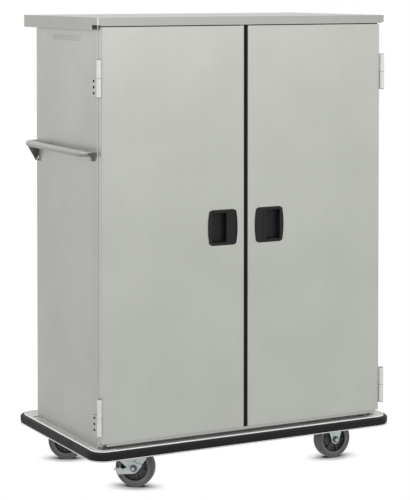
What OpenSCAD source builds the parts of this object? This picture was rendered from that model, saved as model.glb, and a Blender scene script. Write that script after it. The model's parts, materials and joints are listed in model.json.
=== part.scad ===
// Enclosed meal tray cart: a two-door stainless cabinet on a bumpered base
// with two braked swivel casters under the handle end and two rigid casters.
// Millimetres. +Z is up, the doors face -Y, the push handle is at -X.
// The origin is on the floor, under the middle of the whole outline: handle to bumper.

/* [Cabinet] */
// Width over the two side panels
cab_w = 1232; // [1000:1:1500]
// Depth of the cabinet behind the doors
cab_d = 587; // [560:1:760]
// Height from the floor to the top surface
top_z = 1809; // [1500:1:2000]
// Thickness of the cabinet sheet
sheet_t = 2; // [1.2:0.1:3]
// Height of the recessed plinth between deck and cabinet floor
plinth_h = 23; // [18:1:40]
// Depth of the door posts, front to back
post_d = 44; // [36:1:60]
// Width of the door posts
post_w = 20; // [18:1:30]
// Height of the frame rail above the doors
header_h = 68; // [55:1:100]
// Height of the sill rail, from the plinth up
sill_h = 31; // [26:1:50]

/* [Top] */
// How far the top stands out over each side panel
top_side = 18; // [12:1:40]
// How far the top stands out in front of the doors
top_front = 5; // [3:1:20]
// How far the top stands out behind the cabinet
top_back = 90; // [10:1:120]
// Height of the side and back flanges of the top
flange_side = 48; // [40:1:70]
// Height of the front flange of the top
flange_front = 32; // [20:1:38]
// Length of the swing notch at the front of each side flange
notch_l = 50; // [45:1:90]

/* [Doors] */
// Thickness of a door
door_t = 30; // [26:1:45]
// Gap between door and cabinet, filled by the gasket
door_gap = 5; // [3:0.5:8]
// Width of the gap between the two doors
meet_gap = 16; // [8:1:20]
// Clearance above and below the doors
door_clear = 4; // [2:1:8]
// Thickness of the door sheet
door_sheet = 1.5; // [1:0.1:2.5]
// Radius of the upright door edges
door_r = 5; // [2:0.5:8]
// Width of the door gasket
gasket_w = 13; // [8:1:16]

/* [Pulls] */
// Width of a recessed pull
pull_w = 128; // [110:1:150]
// Height of a recessed pull
pull_h = 138; // [120:1:170]
// Radius of the pull's corners
pull_r = 22; // [12:1:30]
// Distance from the meeting edge of the door to the pull
pull_in = 31; // [20:1:60]
// Height of the pull centre above the floor
pull_z = 995; // [850:1:1150]
// Depth of the finger pocket
pull_depth = 23; // [18:1:24]
// Width of the finger pocket
pocket_w = 62; // [50:1:70]
// Distance from the pocket to the outer edge of the pull
pocket_in = 17; // [12:1:24]

/* [Hinges] */
// Length of a lift-off hinge
hinge_l = 143; // [120:1:170]
// Diameter of the hinge barrel
barrel_d = 18; // [16:1:22]
// Diameter of the hinge pin
pin_d = 9; // [6:0.5:10]
// Distance from the side panel to the hinge axis
hinge_out = 11; // [11:0.5:14]
// Height of the middle of the lower hinge
hinge_lo_z = 311; // [290:1:400]
// Distance from the top surface down to the middle of the upper hinge
hinge_down = 227; // [150:1:400]
// Spacing of the three screws of a hinge
screw_pitch = 23; // [18:1:26]

/* [Vents] */
// Holes in one row of the side vent
vent_n = 14; // [6:1:16]
// Rows in the side vent
vent_rows = 4; // [2:1:5]
// Diameter of a vent hole
vent_d = 4; // [3:0.5:5]
// Spacing of the holes along a row
vent_pitch = 19; // [16:1:24]
// Spacing of the rows
vent_row = 5.6; // [5.6:0.1:8]

/* [Tray racks] */
// Number of tray levels
levels = 11; // [6:1:12]
// Height from one tray level to the next
level_pitch = 133; // [100:1:140]
// Height of the lowest ledge above the cabinet floor
level_0 = 46; // [40:1:80]
// Width of the ledge that carries a tray edge
ledge_w = 14; // [10:1:20]
// Height of the upright leg of a ledge
ledge_h = 18; // [12:1:24]
// Thickness of a ledge
ledge_t = 1.5; // [1:0.1:3]

/* [Push handle] */
// Diameter of the handle tube
handle_d = 25.4; // [20:0.1:32]
// Distance from the side panel to the outside of the tube
handle_out = 61; // [50:1:90]
// Height of the middle of the tube above the floor
handle_z = 1298; // [900:1:1400]
// Radius of the bends, to the middle of the tube
handle_bend = 22; // [20:1:45]
// Distance from the front of the cabinet to the front end of the tube
handle_front = 49; // [20:1:120]
// How far the rear bracket reaches below the middle of the tube
rear_drop = 72; // [55:1:110]
// How far the front bracket reaches below the middle of the tube
front_drop = 30; // [28:1:110]
// How far the front bracket reaches out from the side panel
front_reach = 21; // [12:1:48]

/* [Base] */
// Height of the top of the deck above the floor
deck_z = 187; // [187:1:200]
// Thickness of the deck sheet
deck_t = 3; // [2:0.5:5]
// How far the bumper lip stands out past each side panel
lip_side = 33; // [20:1:60]
// How far the bumper lip stands out in front of the doors
lip_front = 22; // [15:1:60]
// How far the bumper lip stands out behind the cabinet
lip_back = 105; // [95:1:140]
// Height of the bumper channel
channel_h = 38; // [32:1:50]
// Corner radius of the bumper lip
lip_r = 52; // [40:1:80]
// How far the rubber strip stands out past the lip
rubber_out = 15; // [8:1:20]
// Size of the corner plates on the deck
corner_plate = 100; // [70:1:104]

/* [Casters] */
// Wheel diameter
wheel_d = 152.4; // [150:0.1:154]
// Tread width
wheel_w = 46; // [38:1:50]
// Distance from the side panel in to each swivel centre
swivel_in = 168; // [120:1:190]
// Distance from the side panel in to the rigid wheels
rigid_in = 131; // [110:1:190]
// Distance from the front edge of the lip to the front casters
caster_front = 172; // [130:1:220]
// Distance from the rear edge of the lip to the rear casters
caster_back = 117; // [110:1:220]
// Distance from a swivel centre to its wheel axle
trail = 40; // [30:1:42]
// Direction of the front swivel wheel at rest, in degrees
front_yaw = -40; // [-180:1:180]
// Direction of the rear swivel wheel at rest, in degrees
rear_yaw = 150; // [-180:1:180]
// Diameter of a wheel axle
axle_d = 12.7; // [10:0.1:14]

/* [Hidden] */
$fn = 48;
fit = 0.3;              // air left between pieces that move past each other
run = 0.05;             // radial clearance of a pin or axle in its bore
seat = 0.2;             // air left round a piece that is pushed into place

// Places along Y, from the bumper lip at the front to the one at the back
base_d = lip_front + door_t + door_gap + cab_d + lip_back;
base_w = cab_w + 2 * lip_side;
y_door = -base_d / 2 + lip_front;            // front plane of the doors
y_cab = y_door + door_t + door_gap;          // front of the cabinet
y_back = y_cab + cab_d;                      // back of the cabinet
x_side = cab_w / 2;                          // outside of a side panel
row_y = [-base_d / 2 + caster_front, base_d / 2 - caster_back];
swivel_x = x_side - swivel_in;
rigid_x = x_side - rigid_in;

// The handle reaches past the bumper, so the cart stands this far off the origin
shift_x = max(0, handle_out - lip_side - rubber_out) / 2;

// Places along Z
deck_under = deck_z - deck_t;
plate_t = 3;                                 // corner plates on the deck
floor_z = deck_z + plinth_h;                 // underside of the cabinet floor
roof_z = top_z - sheet_t;                    // underside of the top sheet
flange_z = top_z - flange_side;              // bottom of the side flanges
door_z0 = floor_z + 1;
door_z1 = top_z - flange_front - door_clear;

// Door sizes
door_x0 = meet_gap / 2;                      // meeting edge of a door
door_x1 = x_side - 1;                        // hinge edge of a door
door_w = door_x1 - door_x0;
hinge_x = x_side + hinge_out;
hinge_half = hinge_l / 2;
hinge_z = [hinge_lo_z, top_z - hinge_down];
pull_x = door_x0 + pull_in + pull_w / 2;

// Tray bays: two partitions between the posts make three equal bays
open_w = cab_w - 2 * post_w;
bay_w = (open_w - 2 * sheet_t) / 3;
part_x = bay_w / 2 + sheet_t / 2;            // middle of a partition
back_fold = 14;                              // depth of the back panel's side flanges
rack_y0 = y_cab + post_d + 4;
rack_y1 = y_back - 2 * sheet_t - back_fold - 1;

// Caster sizes
caster_h = deck_under;                       // mounting plate face to floor
wheel_r = wheel_d / 2;
fork_in = wheel_w / 2 + 3.5;                 // inside of a fork leg
fork_t = 4;
crown_past = 28;                             // how far the crown reaches past the axle
crown_z = wheel_d + 3;                       // underside of the fork crown
crown_t = 5;
plate_h = 5;
plate_x = 114;
plate_y = 100;
bolt_x = 92;
bolt_y = 70;
bolt_d = 9.5;
race_d = 84;
race_gap = 3;                                // height of the lower race on the crown
king_d = 14;

steel = [0.76, 0.77, 0.75];
bright = [0.86, 0.87, 0.86];
zinc = [0.72, 0.75, 0.73];
black = [0.12, 0.12, 0.12];
grey = [0.38, 0.38, 0.39];
dark = [0.2, 0.2, 0.22];

// ---------------------------------------------------------------- helpers

// A block given by its lowest and highest corners
module block(a, b) {
  translate(a) cube([b[0] - a[0], b[1] - a[1], b[2] - a[2]]);
}

// A flat rounded rectangle about the origin
module rounded(w, d, r) {
  square([w - 2 * r, d], center = true);
  square([w, d - 2 * r], center = true);
  for (sx = [-1, 1], sy = [-1, 1])
    translate([sx * (w / 2 - r), sy * (d / 2 - r)]) circle(r);
}

// Carries a profile round a rounded rectangle; the profile's x points outward
// from the outline and its y points up
module ring(w, d, r) {
  for (s = [0, 180]) rotate(s) {
    translate([w / 2, d / 2 - r, 0]) rotate([90, 0, 0])
      linear_extrude(d - 2 * r) children();
    translate([w / 2 - r, d / 2, 0]) rotate([90, 0, 90]) mirror([0, 0, 1])
      linear_extrude(w - 2 * r) children();
    translate([w / 2 - r, d / 2 - r, 0]) rotate_extrude(angle = 90)
      translate([r, 0]) children();
    translate([-w / 2 + r, d / 2 - r, 0]) rotate(90) rotate_extrude(angle = 90)
      translate([r, 0]) children();
  }
}

// Both sides of the cart: the child is drawn for +X
module both_sides() {
  children();
  mirror([1, 0, 0]) children();
}

// The child stood at every corner of a rectangle
module at_corners(x, y) {
  for (sx = [-1, 1], sy = [-1, 1]) translate([sx * x, sy * y, 0]) children();
}

// A hexagon head or nut, standing on z = 0
module hex(across, h) {
  cylinder(d = across / cos(30), h = h, $fn = 6);
}

// ---------------------------------------------------------------- base

module deck_outline() {
  inset = 2 * (web_x + seat);
  rounded(base_w - inset, base_d - inset, lip_r - inset / 2);
}

module deck_pan() {
  color(steel) translate([0, 0, deck_under]) linear_extrude(deck_t)
    difference() {
      deck_outline();
      for (x = [-swivel_x, rigid_x], y = row_y)
        translate([x, y]) at_corners(bolt_x / 2, bolt_y / 2) circle(d = bolt_d);
    }
}

// Two hat rails across the cart and two channels along it, welded under the deck;
// the forks turn clear of them
rail_h = 30;
rail_w = 34;
fork_reach = norm([trail + crown_past, fork_in + fork_t]);
rail_x = swivel_x - fork_reach - rail_w / 2 - 3.5;
rail_y = 118;
module base_rails() {
  color(steel) translate([0, 0, deck_under - rail_h]) {
    for (sx = [-1, 1]) translate([sx * rail_x, 0, 0]) difference() {
      block([-rail_w / 2, -base_d / 2 + 20, 0], [rail_w / 2, base_d / 2 - 20, rail_h]);
      block([-rail_w / 2 + 3, -base_d, 3], [rail_w / 2 - 3, base_d, rail_h + 1]);
    }
    for (sy = [-1, 1]) translate([0, sy * rail_y, 0]) difference() {
      block([-rail_x + rail_w / 2, -rail_w / 2, 0], [rail_x - rail_w / 2, rail_w / 2, rail_h]);
      block([-rail_x, -rail_w / 2 + 3, 3], [rail_x, rail_w / 2 - 3, rail_h + 1]);
    }
  }
}

// Channel section that holds the rubber: web 14 mm in from the lip
lip_t = 4;
web_x = 14;
lip_up = 2;             // the lip stands this much above the deck
channel_z = deck_z + lip_up - channel_h;
module bumper_channel() {
  color(bright) translate([0, 0, channel_z]) ring(base_w, base_d, lip_r) {
    union() {
      translate([-web_x, 0]) square([3, channel_h]);
      translate([-web_x, 0]) square([web_x, lip_t]);
      translate([-web_x, channel_h - lip_t]) square([web_x, lip_t]);
    }
  }
}

// Black rubber strip with a rounded face, pushed into the channel
module bumper_strip() {
  h = channel_h - 2 * lip_t - 2 * seat;
  r = 8;
  x0 = 3 + seat - web_x;
  color(black) translate([0, 0, channel_z + lip_t + seat]) ring(base_w, base_d, lip_r) {
    union() {
      translate([x0, 0]) square([rubber_out - r - x0, h]);
      translate([x0, r]) square([rubber_out - x0, h - 2 * r]);
      translate([rubber_out - r, r]) circle(r);
      translate([rubber_out - r, h - r]) circle(r);
    }
  }
}

// Four plates that close the deck corners; the door posts stand on the front two
module corner_plates() {
  l = corner_plate;
  cut = [16, 40];       // the end next to the cabinet's face is cut at a slant
  color(bright) translate([0, 0, deck_z]) linear_extrude(plate_t)
    intersection() {
      deck_outline();
      for (my = [0, 1]) mirror([0, my]) both_sides() translate([base_w / 2, base_d / 2])
        polygon([[0, 0], [cut[0] - l, 0], [-l, cut[1] - l], [-l, -l], [0, -l]]);
    }
}

// Upright sheets at the front and back between deck and cabinet floor; their ends
// stand on the corner plates
module plinth() {
  middle = base_w / 2 - corner_plate - 1;
  color(steel) {
    for (y = [y_cab + 12, y_back - 10])
      block([-middle, y, deck_z], [middle, y + sheet_t, floor_z]);
    for (sx = [-1, 1]) {
      x = [middle - 1, x_side - post_w - fit];
      block([min(sx * x), y_cab + 12, deck_z + plate_t], [max(sx * x), y_cab + 12 + sheet_t, floor_z]);
    }
    for (sx = [-1, 1]) {
      x = [middle - 1, x_side - sheet_t - fit];
      block([min(sx * x), y_back - 10, deck_z + plate_t], [max(sx * x), y_back - 10 + sheet_t, floor_z]);
    }
  }
}

// ---------------------------------------------------------------- cabinet

// A rectangular tube from a to b, open along one axis (0 = X, 2 = Z)
module tube(a, b, axis) {
  w = sheet_t;
  difference() {
    block(a, b);
    if (axis == 0) block([a[0] - 1, a[1] + w, a[2] + w], [b[0] + 1, b[1] - w, b[2] - w]);
    else block([a[0] + w, a[1] + w, a[2] - 1], [b[0] - w, b[1] - w, b[2] + 1]);
  }
}

// Holes for the hinge screws, along X at one side
module screw_places() {
  for (z = hinge_z, i = [0:2])
    translate([0, y_cab + 28, z - 11.5 - i * screw_pitch]) children();
}

nose_h = 11;            // height of the sill nose under the doors
module door_frame() {
  color(steel) {
    both_sides() difference() {
      tube([x_side - post_w, y_cab, deck_z + plate_t], [x_side, y_cab + post_d, roof_z], 2);
      screw_places() translate([x_side - 6, 0, 0]) rotate([0, 90, 0]) cylinder(d = 5.2, h = 12);
    }
    tube([-x_side + post_w, y_cab, roof_z - header_h], [x_side - post_w, y_cab + post_d, roof_z], 0);
    // the sill carries a nose that runs forward under the doors
    difference() {
      union() {
        block([-x_side + post_w, y_cab, floor_z - nose_h],
              [x_side - post_w, y_cab + post_d, floor_z + sill_h - nose_h]);
        block([-x_side + post_w, y_door + 3, floor_z - nose_h], [x_side - post_w, y_cab + 1, floor_z]);
      }
      block([-x_side, y_door + 3 + sheet_t, floor_z - nose_h - 1],
            [x_side, y_cab + post_d - sheet_t, floor_z - sheet_t]);
      block([-x_side, y_cab + sheet_t, floor_z - nose_h - 1],
            [x_side, y_cab + post_d - sheet_t, floor_z + sill_h - nose_h - sheet_t]);
    }
  }
}

// Floor pan with upturned edges at the sides and back
module cabinet_floor() {
  y0 = y_cab + post_d;
  x = x_side - sheet_t;
  up = 16;
  color(steel) difference() {
    block([-x, y0, floor_z], [x, y_back - sheet_t, floor_z + up]);
    block([-x + sheet_t, y0 - 1, floor_z + sheet_t], [x - sheet_t, y_back - 2 * sheet_t, floor_z + up + 1]);
  }
}

// Side panel behind the post, down to the deck: a flange turns in at its back, and
// there is a vent near the top
side_fold = 24;
vent_y = (y_cab + y_back) / 2 - 6;
module side_panel() {
  color(steel) difference() {
    union() {
      block([x_side - sheet_t, y_cab + post_d, deck_z], [x_side, y_back, roof_z]);
      block([x_side - side_fold, y_back - sheet_t, deck_z], [x_side - 1, y_back, roof_z]);
    }
    for (row = [0:vent_rows - 1], i = [0:vent_n - 1])
      translate([x_side - 2 * sheet_t,
                 vent_y + (i - (vent_n - 1) / 2 + (row % 2 ? 0.25 : -0.25)) * vent_pitch,
                 flange_z - 25 - row * vent_row])
        rotate([0, 90, 0]) cylinder(d = vent_d, h = 4 * sheet_t, $fn = 16);
  }
}

// The left side panel has the holes of the handle's bolts
module side_panel_left() {
  color(steel) difference() {
    mirror([1, 0, 0]) side_panel();
    handle_holes();
  }
}

module back_panel() {
  x = x_side - sheet_t;
  y = y_back - 2 * sheet_t;
  color(steel) difference() {
    block([-x, y - back_fold, floor_z + 17], [x, y + sheet_t, roof_z]);
    block([-x + sheet_t, y - back_fold - 1, floor_z], [x - sheet_t, y, roof_z + 1]);
    handle_holes();
  }
}

// Top pan with folded flanges; the side flanges are notched for the door swing
module top_panel() {
  x = x_side + top_side;
  y0 = y_door - top_front;
  y1 = y_back + top_back;
  hem = 14;
  color(steel) difference() {
    translate([0, (y0 + y1) / 2, flange_z]) linear_extrude(flange_side)
      rounded(2 * x, y1 - y0, 4);
    block([-x + sheet_t, y0 + sheet_t, flange_z + sheet_t], [x - sheet_t, y1 - sheet_t, roof_z]);
    block([-x + hem, y0 + hem, flange_z - 1], [x - hem, y1 - hem, flange_z + sheet_t + 1]);
    block([-x - 1, y0 - 1, flange_z - 1], [x + 1, y0 + hem + 2, top_z - flange_front]);
    both_sides()
      block([x_side + hinge_out / 2, y0 - 1, flange_z - 1], [x + 1, y0 + notch_l, top_z - flange_front + 4]);
    // the hem stops short of the posts and door frame
    block([-x + sheet_t, y0 - 1, flange_z - 1], [x - sheet_t, y_back + 2, flange_z + sheet_t + 1]);
  }
}

module partition() {
  color(steel) {
    block([part_x - sheet_t / 2, rack_y0, floor_z + sheet_t],
          [part_x + sheet_t / 2, y_back - 2 * sheet_t, roof_z]);
    translate([part_x, rack_y0, floor_z + sheet_t]) cylinder(d = 6, h = roof_z - floor_z - sheet_t);
  }
}

// One angle ledge against a wall at x, reaching towards +X when side = 1
module ledge(x, side, reach) {
  translate([x, 0, 0]) mirror([side > 0 ? 0 : 1, 0, 0]) {
    block([0, rack_y0 + 8, 0], [reach, rack_y1, ledge_t]);
    block([0, rack_y0 + 8, -ledge_h], [ledge_t, rack_y1, ledge_t / 2]);
  }
}

// The ledges of one bay, between walls at x0 and x1
module rack(x0, x1, reach0, reach1) {
  color(bright) for (i = [0:levels - 1])
    translate([0, 0, floor_z + level_0 + i * level_pitch]) {
      ledge(x0, 1, reach0);
      ledge(x1, -1, reach1);
    }
}

wall_reach = post_w - sheet_t + ledge_w;     // side wall ledges reach past the posts
module ledges_outer_bay() {
  rack(part_x + sheet_t / 2, x_side - sheet_t, ledge_w, wall_reach);
}

module ledges_center_bay() {
  rack(-part_x + sheet_t / 2, part_x - sheet_t / 2, ledge_w, ledge_w);
}

// ---------------------------------------------------------------- push handle

handle_x = x_side + handle_out - handle_d / 2;
bracket_t = 3;
handle_y0 = y_cab + handle_front;            // middle of the front end of the tube
handle_y1 = y_back - bracket_t - seat - handle_d / 2;   // and of the rear end
handle_wall = 2;

// Tube along the left side with a bend and a short return to the panel at each end
module handle_tube() {
  r = handle_d / 2;
  run_y = handle_y1 - handle_y0 - 2 * handle_bend;
  color(bright) translate([-handle_x, handle_y0 + handle_bend, handle_z]) {
    rotate([-90, 0, 0]) linear_extrude(run_y) tube_ring(r);
    handle_end(r);
    translate([0, run_y, 0]) mirror([0, 1, 0]) handle_end(r);
  }
}

module tube_ring(r) {
  difference() {
    circle(r);
    circle(r - handle_wall);
  }
}

// One bend and its return, from the end of the straight run at the origin
module handle_end(r) {
  translate([handle_bend, 0, 0]) {
    rotate(180) rotate_extrude(angle = 90) translate([handle_bend, 0]) tube_ring(r);
    translate([0, -handle_bend, 0]) rotate([0, 90, 0])
      linear_extrude(handle_x - x_side - handle_bend) tube_ring(r);
  }
}

// A three-cornered plate along the return of the tube, and a flange bolted to the
// panel under it; y is the plate's face next to the flange, side is 1 at the rear
flange_w = 36;
module handle_bracket(y, out, drop, side) {
  foot = handle_z - drop;
  color(steel) mirror([1, 0, 0]) difference() {
    union() {
      translate([0, y, 0]) mirror([0, side > 0 ? 1 : 0, 0]) rotate([90, 0, 0])
        linear_extrude(bracket_t)
          polygon([[x_side, handle_z + 4], [x_side + bracket_t, handle_z + 4], [x_side + out, handle_z],
                   [x_side + 2 * bracket_t, foot], [x_side, foot]]);
      translate([x_side, y, 0]) mirror([0, side > 0 ? 1 : 0, 0])
        block([0, -0.5, foot], [bracket_t, flange_w, handle_z - handle_d / 2 - 1]);
    }
    bracket_bolts(y, drop, side) cylinder(d = bolt_hole, h = 20, center = true);
  }
}

// The two bolt places of a bracket flange, pointing along X; the rear one's second
// bolt sits higher
bolt_up = 8;
module bracket_bolts(y, drop, side) {
  for (i = [0, 1])
    translate([x_side, y - side * [14, flange_w - 8][i], handle_z - drop + bolt_up + i * max(0, side) * 7])
      rotate([0, 90, 0]) children();
}

front_face = handle_y0 - handle_d / 2 - seat;
rear_face = y_back - bracket_t;
module handle_bracket_front() {
  handle_bracket(front_face, front_reach, front_drop, -1);
}

module handle_bracket_rear() {
  handle_bracket(rear_face, handle_out - handle_d / 2, rear_drop, 1);
}

// All four bolt places of the handle
module handle_bolt_places() {
  mirror([1, 0, 0]) {
    bracket_bolts(front_face, front_drop, -1) children();
    bracket_bolts(rear_face, rear_drop, 1) children();
  }
}

bolt_hole = 6.6;
module handle_holes() {
  handle_bolt_places() cylinder(d = bolt_hole, h = 40, center = true);
}

module handle_bolts() {
  color(bright) handle_bolt_places() {
    translate([0, 0, -sheet_t - 6]) cylinder(d = 6, h = sheet_t + 6 + bracket_t);
    translate([0, 0, bracket_t]) hex(11, 4);
  }
}

// ---------------------------------------------------------------- hinges

leaf_t = 3;
split = 0.5;            // air between the two barrels

// Half a barrel, from the split outward, with its outer end chamfered
module barrel() {
  h = hinge_half - split / 2;
  c = 2;
  cylinder(d = barrel_d, h = h - c);
  translate([0, 0, h - c]) cylinder(d1 = barrel_d, d2 = barrel_d - 2 * c, h = c);
}

// Cabinet halves of both hinges of the right side: lower barrel, leaf on the post
module cabinet_leaves() {
  color(bright) for (z = hinge_z) difference() {
    union() {
      translate([hinge_x, y_door, z - split / 2]) mirror([0, 0, 1]) barrel();
      translate([x_side, y_door, z - hinge_half]) linear_extrude(hinge_half - split / 2) {
        square([leaf_t, door_t + door_gap + post_d - 2]);
        square([hinge_out, barrel_d / 2 - 1]);
      }
    }
    translate([hinge_x, y_door, z - hinge_l]) cylinder(d = pin_d + 2 * run, h = hinge_l);
    for (i = [0:2]) translate([x_side - 1, y_cab + 28, z - 11.5 - i * screw_pitch])
      rotate([0, 90, 0]) cylinder(d = 5.2, h = leaf_t + 2);
  }
}

// Door halves of both hinges of the right side: upper barrel with a closed top
module door_leaves() {
  color(bright) for (z = hinge_z) difference() {
    union() {
      translate([hinge_x, y_door, z + split / 2]) barrel();
      translate([door_x1, y_door, z + split / 2]) linear_extrude(hinge_half - split / 2) {
        square([leaf_t, door_t - 2]);
        square([hinge_x - door_x1, barrel_d / 2 - 1]);
      }
    }
    translate([hinge_x, y_door, z - 1]) cylinder(d = pin_d + 2 * run, h = hinge_half - 5);
  }
}

module hinge_pins() {
  color(zinc) both_sides() for (z = hinge_z)
    translate([hinge_x, y_door, z - hinge_half + 6]) cylinder(d = pin_d, h = hinge_l - 20);
}

module hinge_screws() {
  color(zinc) both_sides() screw_places() translate([x_side, 0, 0]) rotate([0, 90, 0]) {
    translate([0, 0, -sheet_t - 4]) cylinder(d = 4.8, h = sheet_t + 4 + leaf_t);
    translate([0, 0, leaf_t]) cylinder(d1 = 9, d2 = 6, h = 2, $fn = 24);
  }
}

// ---------------------------------------------------------------- doors

// Outline of a pull: rounded corners and gently bowed upright sides
pull_bow = 340;
module pull_outline() {
  intersection() {
    rounded(pull_w, pull_h, pull_r);
    translate([pull_w / 2 - pull_bow, 0]) circle(pull_bow, $fn = 360);
    translate([pull_bow - pull_w / 2, 0]) circle(pull_bow, $fn = 360);
  }
}

// The door pan: front sheet and folded edges, with the pull opening cut out
module door_skin() {
  cut_w = pull_w - 14;
  cut_h = pull_h - 14;
  color(steel) difference() {
    translate([0, 0, door_z0]) linear_extrude(door_z1 - door_z0)
      translate([door_x0, y_door]) {
        translate([door_r, 0]) square([door_w - 2 * door_r, door_t]);
        translate([0, door_r]) square([door_w, door_t - door_r]);
        for (x = [door_r, door_w - door_r]) translate([x, door_r]) circle(door_r);
      }
    block([door_x0 + door_sheet, y_door + door_sheet, door_z0 + door_sheet],
          [door_x1 - door_sheet, y_door + door_t + 1, door_z1 - door_sheet]);
    translate([pull_x - cut_w / 2, y_door - 1, pull_z - cut_h / 2]) cube([cut_w, door_sheet + 2, cut_h]);
  }
}

module door_liner() {
  g = door_sheet + seat;
  color(bright) block([door_x0 + g, y_door + door_t - 2, door_z0 + g],
                      [door_x1 - g, y_door + door_t, door_z1 - g]);
}

// Recessed pull: bowed rim, finger pocket and a grip panel on the meeting side
module door_pull() {
  wall = 2;
  rim = 3;
  body_w = pull_w - 14 - 2 * seat;
  body_h = pull_h - 14 - 2 * seat;
  pocket_h = pull_h - 24;
  pocket_x1 = pull_w / 2 - pocket_in;
  pocket_x0 = pocket_x1 - pocket_w;
  color(black) translate([pull_x, y_door, pull_z]) difference() {
    union() {
      rotate([90, 0, 0]) linear_extrude(rim) pull_outline();
      translate([-body_w / 2, -1, -body_h / 2]) cube([body_w, pull_depth + wall + 1, body_h]);
    }
    // the finger pocket runs on behind the grip panel
    translate([pocket_x0, -rim - 1, -pocket_h / 2]) cube([pocket_w, pull_depth + rim + 1, pocket_h]);
    translate([pocket_x0 - 16, 8, -pocket_h / 2]) cube([pocket_w, pull_depth - 8, pocket_h]);
    // the grip panel lies a little below the rim
    translate([-pull_w / 2 + 8, -rim - 1, -pocket_h / 2])
      cube([pocket_x0 - 10 + pull_w / 2 - 8, 2.5, pocket_h]);
  }
}

// Four gasket strips on the back of the door and one along its meeting edge
module door_gasket() {
  x0 = door_x0 + 2;
  x1 = door_x1 - 2;
  z0 = door_z0 + 3;
  z1 = door_z1 - 3;
  y0 = y_door + door_t;
  y1 = y_cab - fit;
  color(black) {
    block([x0, y0, z0], [x1, y1, z0 + gasket_w]);
    block([x0, y0, z1 - gasket_w], [x1, y1, z1]);
    block([x0, y0, z0 + gasket_w], [x0 + gasket_w, y1, z1 - gasket_w]);
    block([x1 - gasket_w, y0, z0 + gasket_w], [x1, y1, z1 - gasket_w]);
    block([1.2, y_door + 6, door_z0 + 1], [door_x0, y_door + door_t - 4, door_z1 - 1]);
  }
}

catch_x = 50;
catch_w = 50;
catch_z = roof_z - header_h + 2;
catch_h = 14;
strike_t = 1.2;
module door_strike() {
  color(zinc) block([catch_x - catch_w / 2, y_door + door_t, catch_z],
                    [catch_x + catch_w / 2, y_door + door_t + strike_t, catch_z + catch_h]);
}

module door_catches() {
  color(black) both_sides()
    block([catch_x - catch_w / 2, y_door + door_t + strike_t + fit, catch_z],
          [catch_x + catch_w / 2, y_cab, catch_z + catch_h]);
}

// ---------------------------------------------------------------- casters

// Places of the four mounting plates
module at_swivels() {
  for (y = row_y) translate([-swivel_x, y, 0]) children();
}

module at_rigids() {
  for (y = row_y) translate([rigid_x, y, 0]) children();
}

module mount_plate() {
  translate([0, 0, caster_h - plate_h]) linear_extrude(plate_h) difference() {
    rounded(plate_x, plate_y, 10);
    at_corners(bolt_x / 2, bolt_y / 2) circle(d = bolt_d);
  }
}

module caster_bolt() {
  translate([0, 0, caster_h - plate_h - 7]) {
    hex(14, 7 - seat / 2);
    cylinder(d = 8, h = 7 + plate_h + deck_t);
    translate([0, 0, 7 + plate_h + deck_t]) cylinder(d = 16, h = 2);
  }
}

module caster_bolts() {
  color(zinc) {
    at_swivels() at_corners(bolt_x / 2, bolt_y / 2) caster_bolt();
    at_rigids() at_corners(bolt_x / 2, bolt_y / 2) caster_bolt();
  }
}

// Fixed halves of the swivels: plate, upper race and king pin
race_z = crown_z + crown_t;
module swivel_plates() {
  color(zinc) at_swivels() {
    mount_plate();
    translate([0, 0, race_z + race_gap])
      cylinder(d = race_d, h = caster_h - plate_h - race_z - race_gap + 1);
    translate([0, 0, crown_z - 1]) cylinder(d = king_d, h = caster_h - crown_z - 1);
    translate([0, 0, crown_z - fit - 1.6]) cylinder(d = king_d + 8, h = 1.6);
  }
}

// A fork for a wheel whose axle lies at x = trail, along Y
module fork() {
  crown_x = trail + crown_past;
  color(zinc) difference() {
    union() {
      translate([0, 0, crown_z]) cylinder(d = race_d + 8, h = crown_t);
      translate([0, 0, race_z]) cylinder(d = race_d - 8, h = race_gap - fit);
      translate([0, -fork_in - fork_t, crown_z]) cube([crown_x, 2 * (fork_in + fork_t), crown_t]);
      for (s = [-1, 1]) translate([0, s * (fork_in + fork_t / 2), 0]) rotate([90, 0, 0])
        linear_extrude(fork_t, center = true) fork_leg(crown_x);
    }
    translate([trail, 0, wheel_r]) rotate([90, 0, 0])
      cylinder(d = axle_d + 2 * run, h = 4 * fork_in, center = true);
    translate([0, 0, crown_z - 1]) cylinder(d = king_d + 2 * run, h = 2 * crown_t);
  }
}

// Side view of a fork leg: wide under the crown, drawn in to the axle
module fork_leg(crown_x) {
  top = crown_z + crown_t;
  polygon([[4 - race_d / 2, top], [4 - race_d / 2, crown_z - 6], [trail - 56, wheel_r + 26],
           [trail - 17, wheel_r - 8], [trail + 17, wheel_r - 8], [trail + 52, wheel_r + 42],
           [crown_x, crown_z - 4], [crown_x, top]]);
  translate([trail, wheel_r]) circle(d = 38);
}

// Axle bolt: head at the near end, nut at the far one
module axle(near, far) {
  color(zinc) rotate([90, 0, 0]) {
    translate([0, 0, -far - 4]) cylinder(d = axle_d, h = near + far + 15);
    translate([0, 0, near]) hex(19, 8);
    translate([0, 0, -far - 8]) hex(19, 8);
  }
}

tread_t = 19;           // radial thickness of the tread
core_r = wheel_r - tread_t;
module wheel_tread() {
  r = 7;
  w = wheel_w / 2;
  color(grey) rotate([90, 0, 0]) rotate_extrude($fn = 96) {
    translate([core_r, -w + 2]) square([wheel_r - r - core_r, wheel_w - 4]);
    translate([core_r + 5, -w]) square([wheel_r - r - core_r - 5, wheel_w]);
    translate([core_r + 5, -w + r]) square([wheel_r - core_r - 5, wheel_w - 2 * r]);
    for (s = [-1, 1]) translate([wheel_r - r, s * (w - r)]) circle(r);
  }
}

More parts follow.
